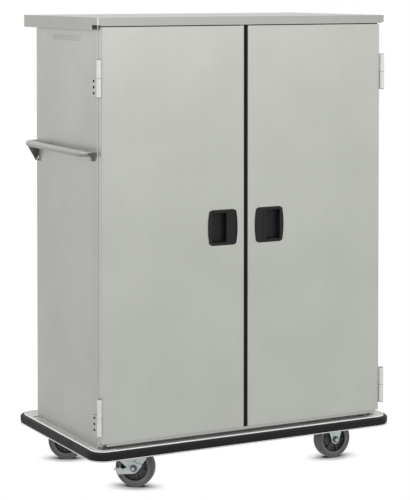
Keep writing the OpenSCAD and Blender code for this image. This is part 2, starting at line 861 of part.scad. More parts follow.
// Spoked core: rim, stepped web, ribs and a hub with the bearing bore
hub_r = 18;
hub_ring = 33;
rib_t = 4;
module wheel_core() {
  hub_w = 2 * fork_in - 1;
  color(dark) rotate([90, 0, 0]) difference() {
    union() {
      difference() {
        cylinder(r = core_r, h = wheel_w - 4, center = true, $fn = 96);
        cylinder(r = core_r - 6, h = wheel_w, center = true, $fn = 96);
      }
      cylinder(r = core_r - 5, h = 8, center = true);
      cylinder(r = hub_ring, h = 16, center = true);
      cylinder(r = hub_r, h = hub_w, center = true);
      for (a = [0:60:300]) rotate(a)
        translate([hub_r - 3, -rib_t / 2, -14]) cube([core_r - hub_r, rib_t, 28]);
    }
    cylinder(d = axle_d + 2 * run, h = 100, center = true);
  }
}

// Brake lever on the outside of one leg, turning on the axle; the end of its arm
// is folded outward into a pedal
module brake() {
  arm_y = fork_in + fork_t + fit;
  arm_t = 3;
  pedal_w = 20;
  pedal_in = [-54, 4];
  pedal_out = [-74, -3];
  color(zinc) rotate([90, 0, 0]) {
    translate([0, 0, arm_y]) linear_extrude(arm_t) difference() {
      union() {
        circle(d = 34);
        polygon([[0, 17], [-24, 4], [-45, -6], pedal_in, pedal_out, [-66, -28], [0, -17]]);
      }
      circle(d = axle_d + 2 * run);
    }
    translate([0, 0, arm_y]) linear_extrude(arm_t + pedal_w)
      polygon([pedal_in, pedal_out, pedal_out - [0, arm_t], pedal_in - [0, arm_t]]);
  }
}

// Everything on a swivel, turned to its yaw; the wheel's own centre is at the axle
module on_swivel(row, yaw) {
  translate([-swivel_x, row_y[row], 0]) rotate(yaw) children();
}

module at_axle() {
  translate([trail, 0, wheel_r]) children();
}

leg_out = fork_in + fork_t;                  // outside of a leg
braked_out = leg_out + 4;                    // and of the brake lever on it
module front_fork() { on_swivel(0, front_yaw) fork(); }
module front_axle() { on_swivel(0, front_yaw) at_axle() axle(braked_out, leg_out); }
module front_wheel_core() { on_swivel(0, front_yaw) at_axle() wheel_core(); }
module front_wheel_tread() { on_swivel(0, front_yaw) at_axle() wheel_tread(); }
module front_brake() { on_swivel(0, front_yaw) at_axle() brake(); }
module rear_fork() { on_swivel(1, rear_yaw) fork(); }
module rear_axle() { on_swivel(1, rear_yaw) at_axle() axle(braked_out, leg_out); }
module rear_wheel_core() { on_swivel(1, rear_yaw) at_axle() wheel_core(); }
module rear_wheel_tread() { on_swivel(1, rear_yaw) at_axle() wheel_tread(); }
module rear_brake() { on_swivel(1, rear_yaw) at_axle() brake(); }

// Rigid caster: plate with two pressed legs that taper to the axle
rigid_leg = 36;         // half the width of a leg at the plate
leg_end = 18;           // radius of its end round the axle
module rigid_brackets() {
  color(zinc) at_rigids() {
    mount_plate();
    for (s = [-1, 1]) translate([0, s * (fork_in + fork_t / 2), 0]) rotate([90, 0, 0])
      linear_extrude(fork_t, center = true) difference() {
        union() {
          for (m = [0, 1]) mirror([m, 0])
            polygon([[-1, caster_h - plate_h], [rigid_leg, caster_h - plate_h],
                     [rigid_leg, caster_h - plate_h - 14], [rigid_leg - 8, wheel_r + 30],
                     [leg_end - 2, wheel_r - 6], [-1, wheel_r - 6]]);
          translate([0, wheel_r]) circle(leg_end);
        }
        translate([0, wheel_r]) circle(d = axle_d + 2 * run);
      }
  }
}

module rigid_axles() {
  at_rigids() translate([0, 0, wheel_r]) axle(leg_out, leg_out);
}

module at_rigid(row) {
  translate([rigid_x, row_y[row], wheel_r]) children();
}

// Stands a piece at its place over the origin
module cart() {
  translate([shift_x, 0, 0]) children();
}

// ---------------------------------------------------------------- nodes

cart() deck_pan();
cart() base_rails();
cart() bumper_channel();
cart() bumper_strip();
cart() corner_plates();
cart() plinth();
cart() door_frame();
cart() cabinet_floor();
cart() side_panel_left();
cart() side_panel();  // side_panel_right
cart() back_panel();
cart() top_panel();
cart() mirror([1, 0, 0]) partition();  // partition_left
cart() partition();  // partition_right
cart() mirror([1, 0, 0]) ledges_outer_bay();  // ledges_left_bay
cart() ledges_center_bay();
cart() ledges_outer_bay();  // ledges_right_bay
cart() handle_tube();
cart() handle_bracket_front();
cart() handle_bracket_rear();
cart() handle_bolts();
cart() mirror([1, 0, 0]) cabinet_leaves();  // hinge_leaves_left
cart() cabinet_leaves();  // hinge_leaves_right
cart() hinge_pins();
cart() hinge_screws();
cart() door_catches();
cart() mirror([1, 0, 0]) door_skin();  // left_door_skin
cart() mirror([1, 0, 0]) door_liner();  // left_door_liner
cart() mirror([1, 0, 0]) door_pull();  // left_door_pull
cart() mirror([1, 0, 0]) door_gasket();  // left_door_gasket
cart() mirror([1, 0, 0]) door_strike();  // left_door_strike
cart() mirror([1, 0, 0]) door_leaves();  // left_door_hinge_leaves
cart() door_skin();  // right_door_skin
cart() door_liner();  // right_door_liner
cart() door_pull();  // right_door_pull
cart() door_gasket();  // right_door_gasket
cart() door_strike();  // right_door_strike
cart() door_leaves();  // right_door_hinge_leaves
cart() caster_bolts();
cart() swivel_plates();
cart() front_fork();
cart() front_axle();
cart() front_wheel_core();
cart() front_wheel_tread();
cart() front_brake();
cart() rear_fork();
cart() rear_axle();
cart() rear_wheel_core();
cart() rear_wheel_tread();
cart() rear_brake();
cart() rigid_brackets();
cart() rigid_axles();
cart() at_rigid(0) wheel_core();  // front_rigid_core
cart() at_rigid(0) wheel_tread();  // front_rigid_tread
cart() at_rigid(1) wheel_core();  // rear_rigid_core
cart() at_rigid(1) wheel_tread();  // rear_rigid_tread
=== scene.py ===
"""Enclosed meal tray cart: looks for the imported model. Metres, in the model's own frame."""

import json
import math

import bmesh
import bpy
from mathutils import Euler, Matrix, Vector

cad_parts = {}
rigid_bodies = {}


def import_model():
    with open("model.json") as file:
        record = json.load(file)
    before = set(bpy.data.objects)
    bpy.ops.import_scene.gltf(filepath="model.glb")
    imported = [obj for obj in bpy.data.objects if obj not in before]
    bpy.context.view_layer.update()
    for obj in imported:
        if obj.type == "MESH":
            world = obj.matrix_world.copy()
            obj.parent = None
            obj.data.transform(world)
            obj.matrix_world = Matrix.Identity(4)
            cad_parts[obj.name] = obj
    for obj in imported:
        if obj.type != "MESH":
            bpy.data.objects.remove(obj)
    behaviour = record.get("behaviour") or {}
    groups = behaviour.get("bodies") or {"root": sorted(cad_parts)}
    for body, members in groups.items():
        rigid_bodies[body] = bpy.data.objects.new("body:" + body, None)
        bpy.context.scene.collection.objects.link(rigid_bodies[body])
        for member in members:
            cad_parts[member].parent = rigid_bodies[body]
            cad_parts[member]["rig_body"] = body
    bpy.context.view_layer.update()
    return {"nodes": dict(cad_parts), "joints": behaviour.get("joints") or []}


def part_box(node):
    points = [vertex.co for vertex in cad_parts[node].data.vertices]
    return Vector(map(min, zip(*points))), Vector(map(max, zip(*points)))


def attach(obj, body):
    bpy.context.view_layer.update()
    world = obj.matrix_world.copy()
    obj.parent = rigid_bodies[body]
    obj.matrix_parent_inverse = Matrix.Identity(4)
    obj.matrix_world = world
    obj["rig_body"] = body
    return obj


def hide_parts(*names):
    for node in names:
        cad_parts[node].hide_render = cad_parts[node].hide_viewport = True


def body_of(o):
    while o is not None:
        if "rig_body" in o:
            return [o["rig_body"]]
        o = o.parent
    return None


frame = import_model()
scene = bpy.context.scene

# ------------------------------------------------------------------ places

MM = 0.001
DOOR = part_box("right_door_skin")          # lowest and highest corner
FRONT = DOOR[0][1]                        # front plane of the doors
FLOOR_SIZE = 3000.0

# The camera stands where the photograph was taken from
CAM_PLACE = Vector((-3.4675, -6.5725, 1.936))
CAM_HEADING = 27.9                        # degrees to the right of +Y
CAM_DOWN = 1.89                           # degrees below the horizon
CAM_FOCAL = 1840.7                        # pixels, in a frame of 410 x 500
CAM_CENTRE_V = 44.14                      # height of the optical axis in that frame
IMAGE_H = 500
SENSOR = 36.0

CENTRE_X = 6.5                            # middle of the cabinet, mm
HINGE_Z = (311, 1582)                     # middle of the lower and the upper hinges
SCREW_X, SCREW_Y = 619, -289.5            # the hinge screws' seats from the middle, and their row
SCREW_FIRST, SCREW_PITCH = 11.5, 23       # from the hinge's middle down to the first, and to the next
SCREW_SHADE_R = 5.3                        # inside this radius a screw's head gets painted shade
SCREW_HEAD = [(0, 0), (5.6, 0), (5.6, 0.6), (4.9, 1.9), (4.0, 2.2), (2.9, 1.9), (2.6, 0.4), (0, 0.3)]
SHARP_DEG = 32                            # edges sharper than this stay sharp
EDGE_DEG = 30                             # edges sharper than this are rounded
EDGE_STEPS = 3                            # faces across a rounded edge
FLAT_DEG = 0.5                            # faces closer than this to one plane are joined
WELD = 0.00002
TOLERANCE = 0.0002                        # places closer than this count as the same
UNDER = -0.2                              # a rounded edge's face that points down more than this gets painted shade
SHADOW_REACH = 0.08                       # how far a wheel darkens the floor
# Light of the room by height: 0 is straight down, 0.5 level, 1 straight up
ROOM = ((0.0, 0.50), (0.47, 0.70), (0.5, 0.93), (1.0, 0.95))

# ------------------------------------------------------------------ node helpers


class Nodes:
    """A material's node tree, with short calls for the nodes used here."""

    def __init__(self, name):
        self.mat = bpy.data.materials.new(name)
        self.mat.use_nodes = True
        self.tree = self.mat.node_tree
        self.shader = self.tree.nodes["Principled BSDF"]

    def put(self, kind, **inputs):
        node = self.tree.nodes.new(kind)
        for key, value in inputs.items():
            self.set(node, key, value)
        return node

    def set(self, node, key, value):
        socket = node.inputs[key] if isinstance(key, int) else node.inputs[key.replace("_", " ")]
        if isinstance(value, bpy.types.NodeSocket):
            self.tree.links.new(value, socket)
        else:
            socket.default_value = value

    def coords(self, scale=(1, 1, 1)):
        """Object coordinates, stretched by scale."""
        place = self.put("ShaderNodeTexCoord")
        mapping = self.put("ShaderNodeMapping", Vector=place.outputs["Object"], Scale=scale)
        return mapping.outputs["Vector"]

    def noise(self, scale, detail=4.0, rough=0.5, stretch=(1, 1, 1)):
        node = self.put("ShaderNodeTexNoise", Vector=self.coords(stretch), Scale=scale, Detail=detail,
                        Roughness=rough)
        return node.outputs["Fac"]

    def span(self, value, low, high, start=0.3, end=0.7):
        """value from start..end mapped to low..high."""
        node = self.put("ShaderNodeMapRange", Value=value, From_Min=start, From_Max=end, To_Min=low,
                        To_Max=high)
        return node.outputs["Result"]

    def mix(self, fac, one, two):
        node = self.tree.nodes.new("ShaderNodeMix")
        node.data_type = "RGBA"
        self.set(node, 0, fac)
        for index, colour in ((6, one), (7, two)):
            if isinstance(colour, bpy.types.NodeSocket):
                self.tree.links.new(colour, node.inputs[index])
            else:
                node.inputs[index].default_value = (*colour, 1)
        return node.outputs[2]

    def math(self, operation, one, two):
        node = self.tree.nodes.new("ShaderNodeMath")
        node.operation = operation
        self.set(node, 0, one)
        self.set(node, 1, two)
        return node.outputs[0]

    def bump(self, height, strength, distance):
        node = self.put("ShaderNodeBump", Height=height, Strength=strength, Distance=distance)
        self.set(self.shader, "Normal", node.outputs["Normal"])


def steel(name, colour, rough, grain, depth=0.06, blotch=0.05, metallic=1.0):
    """Brushed sheet steel; grain is the stretch of the brushing, long where it is small."""
    n = Nodes(name)
    brush = n.noise(1.0, 6.0, 0.7, grain)
    cloud = n.noise(3.2, 3.0, 0.55)
    wear = n.noise(16.0, 5.0, 0.6)
    light = tuple(min(1, c * (1 + blotch)) for c in colour)
    dark = tuple(c * (1 - blotch) for c in colour)
    base = n.mix(n.span(cloud, 0, 1, 0.35, 0.65), dark, light)
    streak = n.mix(n.span(brush, 0, 1), tuple(c * 0.94 for c in colour), light)
    n.set(n.shader, "Base_Color", n.mix(0.5, base, streak))
    n.shader.inputs["Metallic"].default_value = metallic
    even = n.math("ADD", n.span(brush, rough - depth, rough + depth), n.span(wear, -0.03, 0.03))
    n.set(n.shader, "Roughness", even)
    n.bump(brush, 0.05, 0.0004)
    return n.mat


def plain(name, colour, rough, metallic=0.0, grain=900.0, bump=0.12, spread=0.12, specular=0.5):
    """Moulded, plated or rubber surface with fine grain and slight colour variation."""
    n = Nodes(name)
    fine = n.noise(grain, 3.0, 0.6)
    broad = n.noise(22.0, 4.0, 0.6)
    light = tuple(min(1, c * (1 + spread)) for c in colour)
    dark = tuple(c * (1 - spread) for c in colour)
    n.set(n.shader, "Base_Color", n.mix(n.span(broad, 0, 1), dark, light))
    n.shader.inputs["Metallic"].default_value = metallic
    n.shader.inputs["Specular IOR Level"].default_value = specular
    n.set(n.shader, "Roughness", n.span(broad, rough - 0.05, rough + 0.05))
    n.bump(fine, bump, 0.0003)
    return n.mat


UPRIGHT = (700, 700, 6)                   # brushing that runs up and down
ALONG_X = (5, 500, 500)                   # and from side to side
ALONG_Y = (500, 5, 500)

MAT = {
    "door": steel("door_steel", (0.63, 0.645, 0.60), 0.36, UPRIGHT),
    "side": steel("side_steel", (0.58, 0.59, 0.555), 0.38, UPRIGHT, blotch=0.08),
    "top": steel("top_steel", (0.50, 0.505, 0.48), 0.36, ALONG_X),
    "frame": steel("frame_steel", (0.57, 0.58, 0.555), 0.33, UPRIGHT),
    "deck": steel("deck_steel", (0.50, 0.51, 0.50), 0.34, ALONG_X, depth=0.1, metallic=0.45),
    "inner": steel("inner_steel", (0.66, 0.67, 0.66), 0.35, ALONG_Y),
    # painted highlight: near-white copy of the deck steel on the channel's rounded lips
    "lip": steel("lip_painted_highlight", (0.93, 0.94, 0.93), 0.22, ALONG_X, depth=0.04, metallic=0.3),
    "plate": steel("plate_steel", (0.50, 0.51, 0.47), 0.32, ALONG_X, metallic=0.8),
    # painted highlight: near-white copy of the steel on rounded edges and corners
    "edge": steel("edge_painted_highlight", (0.97, 0.975, 0.96), 0.2, ALONG_X, depth=0.03, metallic=0.35),
    # painted highlight: lighter copy of the frame steel on the posts' rounded front corners
    "fold": steel("fold_painted_highlight", (0.76, 0.77, 0.75), 0.26, UPRIGHT, metallic=0.8),
    # painted shade: near-black on rounded edges' faces that point down, and on barrel ends
    "painted_shade": plain("painted_shade", (0.09, 0.088, 0.08), 0.55, metallic=0.5, grain=500),
    # painted shade: dark copy of the steel on the handle brackets, which sit in shade under the tube
    "bracket": steel("bracket_painted_shade", (0.22, 0.22, 0.205), 0.4, ALONG_Y),
    # the nuts' own dark steel; on the washers it is a painted shade round each nut
    "nut": plain("nut_steel_and_washer_shade", (0.20, 0.225, 0.25), 0.34, metallic=0.9, grain=500, bump=0.05),
    # painted shade: near-black over most of each screw head, not only its recess
    "socket": plain("socket_shade", (0.03, 0.03, 0.03), 0.6, metallic=0.4),
    "tube": steel("tube_steel", (0.47, 0.475, 0.44), 0.3, ALONG_Y, depth=0.1),
    # painted highlight: lighter copy of the leaf steel on the rolled hinge barrels
    "hinge": plain("hinge_barrel_highlight", (0.86, 0.87, 0.85), 0.28, metallic=0.7, grain=300, bump=0.02, spread=0.04),
    "leaf": steel("leaf_steel", (0.60, 0.61, 0.58), 0.34, UPRIGHT),
    "zinc": plain("zinc_plate", (0.60, 0.66, 0.64), 0.36, metallic=0.85, grain=420, bump=0.06),
    # painted highlight: lighter copy of the zinc plate on rounded edges
    "highlight_zinc": plain("zinc_edge_painted_highlight", (0.74, 0.80, 0.78), 0.3, metallic=0.7, grain=420, bump=0.04),
    # painted shade: dark copy of the zinc plate on downward edges and the lever's rim
    "shade_zinc": plain("zinc_rim_painted_shade", (0.15, 0.17, 0.165), 0.42, metallic=0.8, grain=420, bump=0.05),
    # painted highlight: lighter copy of the core plastic on its rims and rib edges
    "core_highlight": plain("core_painted_highlight", (0.15, 0.15, 0.16), 0.4, grain=900),
    # painted highlight: lighter copy of the tread rubber on its inner raised step
    "tread_highlight": plain("tread_shoulder_highlight", (0.20, 0.198, 0.20), 0.5, grain=700),
    "bolt": plain("bolt_steel", (0.62, 0.63, 0.62), 0.32, metallic=1.0, grain=600, bump=0.04),
    "plastic": plain("pull_plastic", (0.012, 0.0125, 0.0125), 0.45, grain=1500, bump=0.2, specular=0.3),
    "rubber": plain("bumper_rubber", (0.009, 0.009, 0.009), 0.5, grain=800, bump=0.16, specular=0.25),
    "seal": plain("seal_rubber", (0.007, 0.007, 0.006), 0.55, grain=900, specular=0.3),
    "tread": plain("tread_rubber", (0.115, 0.112, 0.112), 0.55, grain=700),
    "core": plain("core_plastic", (0.045, 0.045, 0.050), 0.45, grain=900),
}

LOOKS = {
    "top_panel": "top", "deck_pan": "deck", "bumper_channel": "deck", "bumper_strip": "rubber",
    "corner_plates": "plate", "handle_tube": "tube", "handle_bolts": "bolt", "hinge_pins": "bolt",
    "hinge_screws": "bolt", "door_catches": "plastic", "back_panel": "side", "caster_bolts": "bolt",
    "cabinet_floor": "inner", "partition_left": "inner", "partition_right": "inner",
    "side_panel_left": "side", "side_panel_right": "side",
}
ENDINGS = (
    ("_skin", "door"), ("_liner", "inner"), ("_pull", "plastic"), ("_gasket", "seal"), ("_strike", "bolt"),
    ("_tread", "tread"), ("_core", "core"), ("_bay", "inner"),
)
PARTS_WITH = (("hinge_leaves", "leaf"), ("fork", "zinc"), ("axle", "zinc"), ("brake", "zinc"),
              ("swivel", "zinc"), ("rigid_brackets", "zinc"), ("handle_bracket", "bracket"))


def look_of(name):
    """The name of the material for a CAD node."""
    if name in LOOKS:
        return LOOKS[name]
    for ending, look in ENDINGS:
        if name.endswith(ending):
            return look
    for part, look in PARTS_WITH:
        if part in name:
            return look
    return "frame"


def paint(obj, mat):
    obj.data.materials.clear()
    obj.data.materials.append(mat)


for name, obj in frame["nodes"].items():
    paint(obj, MAT[look_of(name)])

# ------------------------------------------------------------------ shapes


def make_piece(bm, name, body, looks, replaced=()):
    """Makes an object of a bmesh and ties it to a body of the frame."""
    bmesh.ops.recalc_face_normals(bm, faces=bm.faces)
    mesh = bpy.data.meshes.new(name)
    for face in bm.faces:
        face.smooth = True
    bm.to_mesh(mesh)
    bm.free()
    mesh.set_sharp_from_angle(angle=math.radians(SHARP_DEG))
    obj = bpy.data.objects.new(name, mesh)
    scene.collection.objects.link(obj)
    for look in looks:
        obj.data.materials.append(MAT[look])
    even = obj.modifiers.new("even", "WEIGHTED_NORMAL")
    even.keep_sharp = True
    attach(obj, body)
    if replaced:
        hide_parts(*replaced)
    return obj


def dress(name, passes, edges_as="edge", under_as="painted_shade", change=None):
    """A node's own mesh with its sheet edges rounded and given a painted highlight, standing for the node.

    passes lists (width in mm, pick), and pick says which edges are rounded by it. change alters
    the mesh before that, and may give faces the looks: 0 own, 1 edge with a painted highlight,
    2 under an edge with a painted shade, 3 barrel with a painted highlight.
    """
    node = frame["nodes"][name]
    bm = bmesh.new()
    bm.from_mesh(node.data)
    bmesh.ops.remove_doubles(bm, verts=bm.verts, dist=WELD)
    bmesh.ops.dissolve_limit(bm, angle_limit=math.radians(FLAT_DEG), verts=bm.verts, edges=bm.edges)
    for face in bm.faces:
        face.material_index = 0
    if change:
        change(bm)
    for width, pick in passes:
        edges = [e for e in bm.edges if len(e.link_faces) == 2 and e.is_convex
                 and e.calc_face_angle(0) > math.radians(EDGE_DEG) and pick(e)]
        bmesh.ops.bevel(bm, geom=edges, offset=width * MM, segments=EDGE_STEPS, profile=0.5,
                        affect="EDGES", clamp_overlap=True, material=1)
        bm.normal_update()
    # rounded edges' faces that point down get the painted shade
    for face in bm.faces:
        if face.material_index == 1 and face.normal.z < UNDER:
            face.material_index = 2
    own = look_of(name)
    # by default edges take a painted highlight, faces under them a painted shade, barrels a painted highlight
    looks = [own, edges_as or own, under_as or own, "hinge"]
    return make_piece(bm, name + "_dressed", body_of(node)[0], looks, [name])


def middle(edge):
    return (edge.verts[0].co + edge.verts[1].co) / 2


def near(a, b):
    return abs(a - b) < TOLERANCE


def box_edges(name):
    """Picks the edges along two sides of the node's own box."""
    low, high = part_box(name)

    def pick(edge):
        place = middle(edge)
        return sum(near(place[a], low[a]) or near(place[a], high[a]) for a in range(3)) >= 2
    return pick


def outward(edge):
    """Picks edges with an upright face turned away from the middle of the cart."""
    place = middle(edge)
    half_x, half_y = BASE_HALF
    return any(abs(f.normal.z) < 0.2 and f.normal.x * place.x / half_x + f.normal.y * place.y / half_y > 0.3
               for f in edge.link_faces)


def any_edge(edge):
    return True

# ------------------------------------------------------------------ dressed sheets


def upright(edge):
    return abs((edge.verts[0].co - edge.verts[1].co).normalized().z) > 0.99


def post_corner(edge):
    """The front outer corners of the two posts."""
    low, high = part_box("door_frame")
    place = middle(edge)
    return upright(edge) and near(place.y, POST_FRONT) and (near(place.x, low[0]) or near(place.x, high[0]))


def round_corners(bm):
    """Gives the top's small upright corner faces the edge look, a painted highlight."""
    for face in bm.faces:
        if abs(face.normal.x) > 0.15 and abs(face.normal.y) > 0.15 and abs(face.normal.z) < 0.1:
            face.material_index = 1


def mark_barrels(bm):
    """Gives the rolled barrels a painted highlight, a lighter copy of the steel, and painted shade to their
    ends.
    """
    low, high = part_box("hinge_pins")
    for face in bm.faces:
        place = face.calc_center_median()
        off_x = min(abs(place.x - low.x - PIN_R), abs(place.x - high.x + PIN_R))
        if off_x < BARREL_R and abs(place.y - (low.y + high.y) / 2) < BARREL_R:
            face.material_index = 2 if abs(face.normal.z) > 0.5 else 3


def grow_lip(bm):
    """Draws the channel's lower lip out under the rubber."""
    low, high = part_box("bumper_channel")
    for vert in bm.verts:
        core = Vector((min(max(vert.co.x, low.x + LIP_R), high.x - LIP_R),
                       min(max(vert.co.y, low.y + LIP_R), high.y - LIP_R), vert.co.z))
        off = vert.co - core
        if vert.co.z < low.z + LIP_BAND and off.length > LIP_R - MM:
            vert.co += off.normalized() * LIP_GROWTH


def raise_seal(bm):
    """Raises the seal's black top edge to close the slot over the door, a painted shade in the slot."""
    for vert in bm.verts:
        if near(vert.co.z, DOOR[1][2] - SEAL_IN):
            vert.co.z += SEAL_RISE


def lip_top(edge):
    return outward(edge) and near(middle(edge).z, LIP_Z)


def lip_low(edge):
    return outward(edge) and middle(edge).z < LIP_Z - LIP_DROP


POST_FRONT = FRONT + 35 * MM              # door and gap before the posts
PIN_R, BARREL_R = 4.5 * MM, 9.6 * MM
BASE_HALF = (0.65, 0.37)                  # about half the base's length and width
LIP_R, LIP_GROWTH = 52 * MM, 14.2 * MM    # the base's corner radius, and how far its lower lip is drawn
LIP_BAND, LIP_DROP = 5 * MM, 30 * MM      # height of the lower lip's zone, and its depth under the upper lip
LIP_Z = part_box("bumper_channel")[1][2]
SEAL_IN, SEAL_RISE = 3 * MM, 6 * MM       # from the door's top down to the seal, and how far the seal goes up
for side in ("left", "right"):
    dress(side + "_door_skin", [(2.6, box_edges(side + "_door_skin"))])
    dress(side + "_door_hinge_leaves", [(1.1, any_edge)], change=mark_barrels)
    dress("hinge_leaves_" + side, [(1.1, any_edge)], change=mark_barrels)
    dress(side + "_door_pull", [(1.2, any_edge)], None, None)
    # the raised black seal stands for the shade in the slot over the door
    dress(side + "_door_gasket", [(0.8, any_edge)], None, None, change=raise_seal)
dress("top_panel", [(1.8, box_edges("top_panel"))], change=round_corners)
# the posts' rounded front corners get the painted highlight
dress("door_frame", [(4.0, post_corner)], "fold")
# the channel's rounded lips get the painted highlight
dress("bumper_channel", [(3.4, lip_top), (1.4, lip_low)], "lip", None, change=grow_lip)
dress("corner_plates", [(1.2, any_edge)])
for name in ("handle_bracket_front", "handle_bracket_rear"):
    dress(name, [(0.8, any_edge)], under_as=None)
for name in ("front_fork", "rear_fork", "rigid_brackets", "swivel_plates"):
    # the forks' rounded edges get the painted highlight, those turned down the painted shade
    dress(name, [(0.9, any_edge)], "highlight_zinc", "shade_zinc")

# ------------------------------------------------------------------ built pieces


class Shape:
    """A mesh put together from turned and cut forms, in millimetres, each placed by a matrix."""

    def __init__(self):
        self.bm = bmesh.new()

    def place(self, at, point):
        return self.bm.verts.new(at @ (Vector(point) * MM))

    def lathe(self, profile, at, steps=48, look=None):
        """Turns a closed profile of (radius, along) about the local Y axis.

        look(radius, along) gives the look.
        """
        rings = []
        for radius, along in profile:
            if radius < 0.01:
                rings.append([self.place(at, (0, along, 0))] * steps)
                continue
            rings.append([self.place(at, (radius * math.cos(a), along, radius * math.sin(a)))
                          for a in (2 * math.pi * i / steps for i in range(steps))])
        last = len(rings) if rings[0][0] is not rings[0][1] else len(rings) - 1
        for i in range(last):
            one, two = rings[i], rings[(i + 1) % len(rings)]
            (r1, y1), (r2, y2) = profile[i], profile[(i + 1) % len(profile)]
            for k in range(steps):
                corners = [one[k], one[(k + 1) % steps], two[(k + 1) % steps], two[k]]
                corners = list(dict.fromkeys(corners))
                face = self.bm.faces.new(corners)
                face.material_index = look((r1 + r2) / 2, (y1 + y2) / 2) if look else 0

    def prism(self, points, low, high, at, edge=0.0, look=0, edge_look=0):
        """Cuts a plate from an outline of (x, z), from low to high along the local Y axis."""
        under = [self.place(at, (x, low, z)) for x, z in points]
        over = [self.place(at, (x, high, z)) for x, z in points]
        count = len(points)
        faces = [self.bm.faces.new(under), self.bm.faces.new(list(reversed(over)))]
        for i in range(count):
            k = (i + 1) % count
            faces.append(self.bm.faces.new([under[i], over[i], over[k], under[k]]))
        for face in faces:
            face.material_index = look
        if edge:
            rims = [e for f in faces[:2] for e in f.edges]
            bmesh.ops.bevel(self.bm, geom=rims, offset=edge * MM, segments=2, profile=0.5, affect="EDGES",
                            clamp_overlap=True, material=edge_look)

    def done(self, name, body, looks, replaced=()):
        return make_piece(self.bm, name, body, looks, replaced)


def rounded_outline(points, radius, steps=4):
    """The outline with each corner drawn as a small curve."""
    out = []
    count = len(points)
    for i, point in enumerate(points):
        here = Vector(point)
        before, after = Vector(points[i - 1]) - here, Vector(points[(i + 1) % count]) - here
        reach = min(radius, before.length * 0.45, after.length * 0.45)
        start, end = here + before.normalized() * reach, here + after.normalized() * reach
        for k in range(steps + 1):
            t = k / steps
            spot = start * (1 - t) ** 2 + here * (2 * t * (1 - t)) + end * t ** 2
            out.append((spot.x, spot.y))
    return out


def mirrored(half):
    """A turned profile that is the same on both sides."""
    return half + [(radius, -along) for radius, along in reversed(half)]


def joint_frame(name):
    """Local frame of a wheel or brake: Y along its axle, Z up, at the axle's middle."""
    joint = next(j for j in frame["joints"] if j["name"] == name)
    along = Vector(joint["axis"])
    across = Vector((along.y, -along.x, 0))
    at = Matrix((across, along, Vector((0, 0, 1)))).transposed().to_4x4()
    at.translation = Vector(joint["pos_m"])
    return at


HEX = [(math.cos(math.radians(60 * i)), math.sin(math.radians(60 * i))) for i in range(6)]
AXLE_R, WASHER_R, WASHER_T = 6.35, 14.2, 1.8
NUT_ACROSS, NUT_END, AXLE_END = 19, 8, 11  # nut's width, and how far it and the bolt stand out
LEG_OUT = 30.5                            # outside of a fork leg
LEVER_OUT = 34.5                          # outside of the brake lever on it
LEVER_IN, LEVER_FACE, PEDAL_IN, PEDAL_OUT = 30.8, 33.8, 31, 53.8


def hex_nut(shape, across, low, high, at, look=0, turn=0.0):
    corner = across / 2 / math.cos(math.radians(30))
    spin = Matrix.Rotation(math.radians(turn), 4, "Y")
    shape.prism([(x * corner, z * corner) for x, z in HEX], low, high, at @ spin, 1.1, look, look)


def ring_of(outer, inner, low, high, soft=0.5):
    """Profile of a washer or sleeve."""
    return [(inner, low), (outer - soft, low), (outer, low + soft), (outer, high - soft), (outer - soft, high),
            (inner, high)]


def stub(radius, low, high, soft=1.0):
    """Profile of a bolt end, from a flat face to a chamfered tip."""
    return [(0, low), (radius, low), (radius, high - soft), (radius - soft, high), (0, high)]


def axle_set(shape, at, near_out, far_out):
    """Bolt through a fork: nut and bolt end at the near side, head at the far one."""
    turned = at @ Matrix.Rotation(math.pi, 4, "Z")
    # the washers take the nut look, a painted shade round each nut
    shape.lathe(ring_of(WASHER_R, AXLE_R, near_out, near_out + WASHER_T), turned, look=lambda r, y: 1)
    hex_nut(shape, NUT_ACROSS, near_out + WASHER_T, near_out + NUT_END, turned, 1, 12)
    shape.lathe(stub(AXLE_R, near_out, near_out + AXLE_END), turned, 32, look=lambda r, y: 2)
    shape.lathe(ring_of(WASHER_R, AXLE_R, far_out, far_out + WASHER_T), at, look=lambda r, y: 1)
    hex_nut(shape, NUT_ACROSS, far_out + WASHER_T, far_out + NUT_END, at, 1, 3)
    shape.lathe(stub(AXLE_R, -near_out, far_out + 2), at, 32, look=lambda r, y: 2)


# One side of the wheel's section: radius, and distance from its middle plane
CORE_HALF = [(57.2, 21), (52.4, 21), (51.0, 19), (49.6, 5), (47.5, 4), (36, 4), (34.4, 5), (33, 8), (31, 9),
             (25, 9.4), (20.5, 11), (18.6, 14), (18, 25), (17, 26), (6.5, 26)]
TREAD_HALF = [(57.3, 21), (58.4, 22.3), (60.6, 22.3), (62, 20.9), (63.4, 20.9), (66, 22.4), (69, 22.9),
              (72, 22), (74.3, 19.4), (75.6, 15.4), (76.1, 9), (76.2, 3)]
RIB = [(16, 16), (50.6, 12.5), (50.6, -12.5), (16, -16)]


def core_look(radius, along):
    """The core's rim and the ring round its hub get a lighter copy of the plastic, a painted highlight."""
    return int(50 < radius < 55 and abs(along) > 19.5 or 30.5 < radius < 34.9)


def wheel(stem, body, at, turn):
    """Ribbed core and tread of one wheel; stem names the two nodes, turn is the ribs' angle."""
    core = Shape()
    core.lathe(mirrored(CORE_HALF), at, 72, look=core_look)
    for i in range(6):
        spin = Matrix.Rotation(math.radians(60 * i + turn), 4, "Y")
        rib_at = at @ spin @ Matrix.Rotation(math.pi / 2, 4, "X")
        # the ribs' rounded edges get the painted highlight
        core.prism(RIB, -2, 2, rib_at, 0.9, 0, 1)
    core.done(stem[0] + "_turned", body, ["core", "core_highlight"], [stem[0]])
    tread = Shape()
    # the tread's inner step gets the painted highlight
    tread.lathe(mirrored(TREAD_HALF), at, 96, look=lambda r, y: int(r < 61.4))
    tread.done(stem[1] + "_moulded", body, ["tread", "tread_highlight"], [stem[1]])


